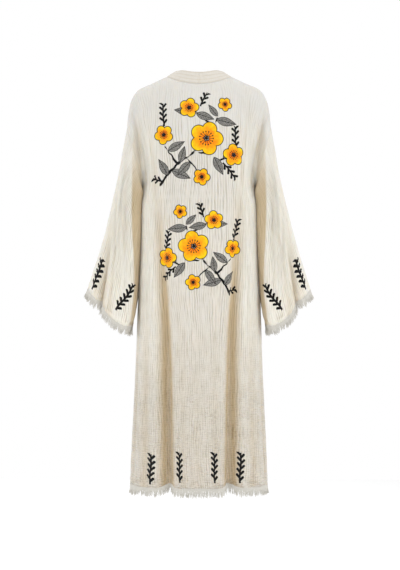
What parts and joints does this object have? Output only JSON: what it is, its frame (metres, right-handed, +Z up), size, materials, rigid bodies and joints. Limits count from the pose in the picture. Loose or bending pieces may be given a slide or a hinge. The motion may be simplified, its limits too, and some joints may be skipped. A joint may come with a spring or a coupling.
{
  "type": "open-fronted kimono robe",
  "caption": "Calf-length open-fronted kimono robe in cotton gauze with wide sleeves, a neckband and frayed hem and cuffs, filled out as if worn.",
  "frame": {"origin": "midway between the two neck points, where the shoulder seams meet the neckband and the wearer's shoulders carry the robe", "axes": "+Z up, +X towards the wearer's left, -Y is the front"},
  "size_m": [0.6862, 0.2582, 1.268],
  "materials": {
    "gauze": "crinkled double cotton gauze, cream, printed on the back, the hem and the sleeves",
    "band": "folded cotton gauze with rows of stitching",
    "fray": "frayed cotton thread"
  },
  "bodies": {
    "root": {"back_panel": "gauze", "front_panel_left": "gauze", "front_panel_right": "gauze", "sleeve_left": "gauze", "sleeve_right": "gauze", "neckband_left": "band", "neckband_right": "band", "fringe_hem_back": "fray", "fringe_hem_front_left": "fray", "fringe_hem_front_right": "fray", "fringe_cuff_left": "fray", "fringe_cuff_right": "fray"}
  },
  "joints": []
}
